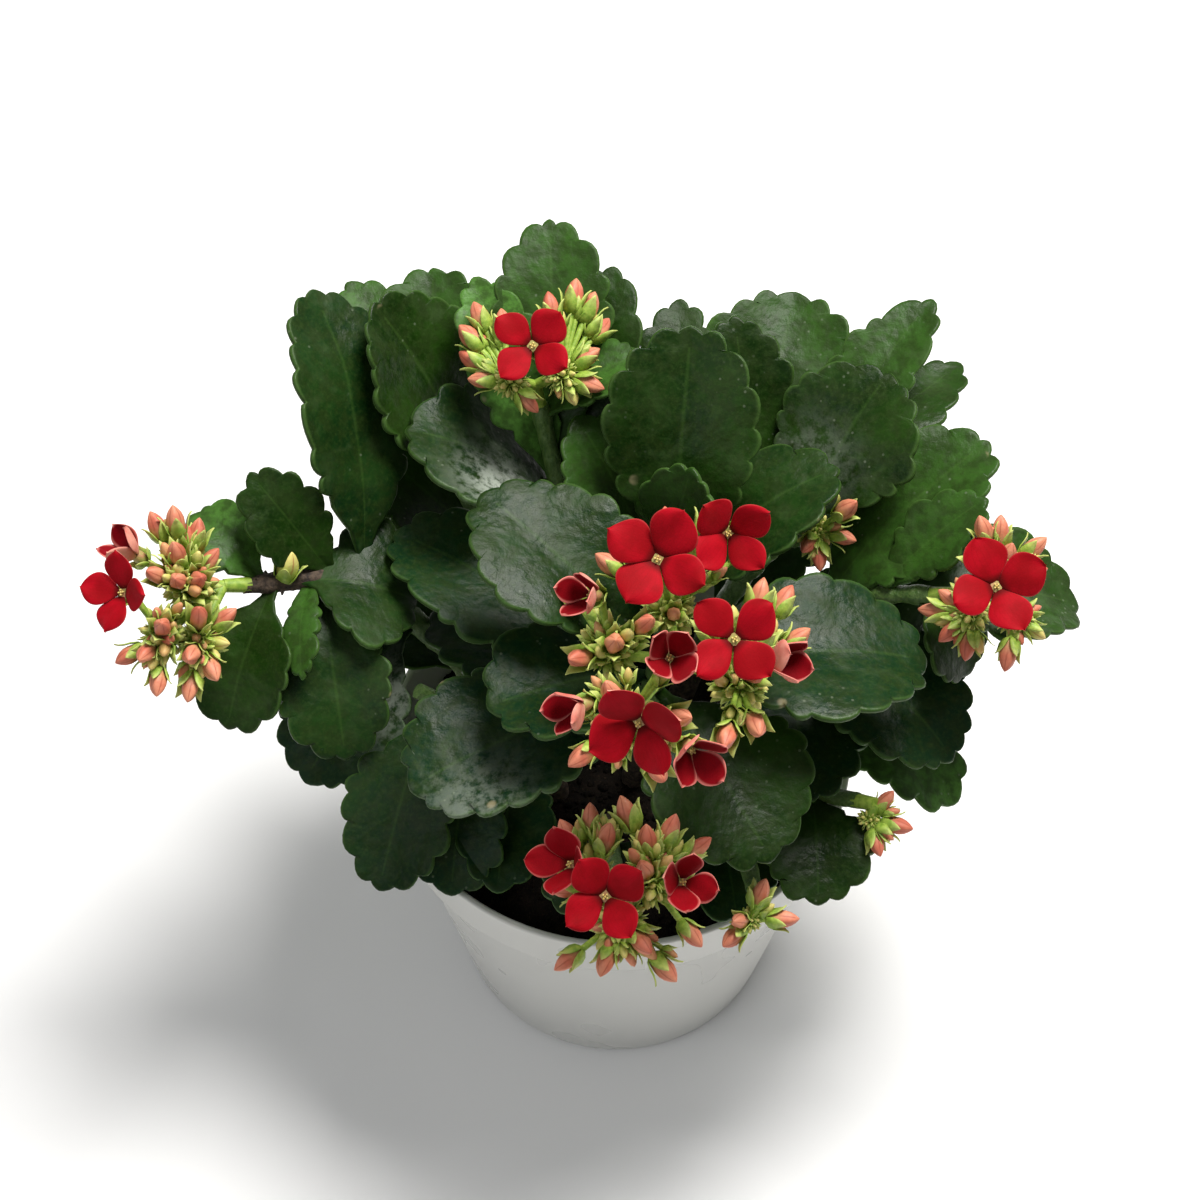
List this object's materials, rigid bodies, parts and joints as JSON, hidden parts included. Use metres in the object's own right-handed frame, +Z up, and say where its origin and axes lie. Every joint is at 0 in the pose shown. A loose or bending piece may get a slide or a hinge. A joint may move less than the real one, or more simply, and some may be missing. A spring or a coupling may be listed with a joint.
{
  "type": "potted flowering plant",
  "caption": "Low bushy succulent houseplant with scalloped fleshy dark green leaves and heads of small red flowers and salmon buds, in a round pale pot with a collar.",
  "frame": {"origin": "centre of the pot's underside, on the flat middle disc that it rests on", "axes": "+Z up along the pot's axis; the side that the picture was taken from faces -Y; +X is to the right in the picture"},
  "size_m": [0.2091, 0.1587, 0.1737],
  "materials": {
    "pot": "semi-gloss",
    "soil": "matte",
    "leaf": "waxy",
    "bud": "matte",
    "petal": "velvety"
  },
  "bodies": {
    "root": {"pot": "pot", "soil": "soil", "stem_left": "leaf", "stem_back": "leaf", "stem_centre": "leaf", "stem_middle": "leaf", "stem_right": "leaf", "stem_back_right": "leaf", "stem_back_left": "leaf", "stem_front": "leaf", "stem_front_right": "leaf", "stem_side_right": "leaf", "stem_front_left": "leaf", "head_left": "bud", "head_back": "bud", "head_centre": "bud", "head_right": "bud", "head_front": "bud", "head_back_right": "bud", "head_front_right": "bud", "head_side_right": "bud", "flower_left_1": "petal", "flower_left_2": "petal", "flower_back_1": "petal", "flower_centre_1": "petal", "flower_centre_2": "petal", "flower_centre_3": "petal", "flower_centre_4": "petal", "flower_centre_5": "petal", "flower_centre_6": "petal", "flower_centre_7": "petal", "flower_centre_8": "petal", "flower_centre_9": "petal", "flower_right_1": "petal", "flower_front_1": "petal", "flower_front_2": "petal", "flower_front_3": "petal"}
  },
  "joints": []
}
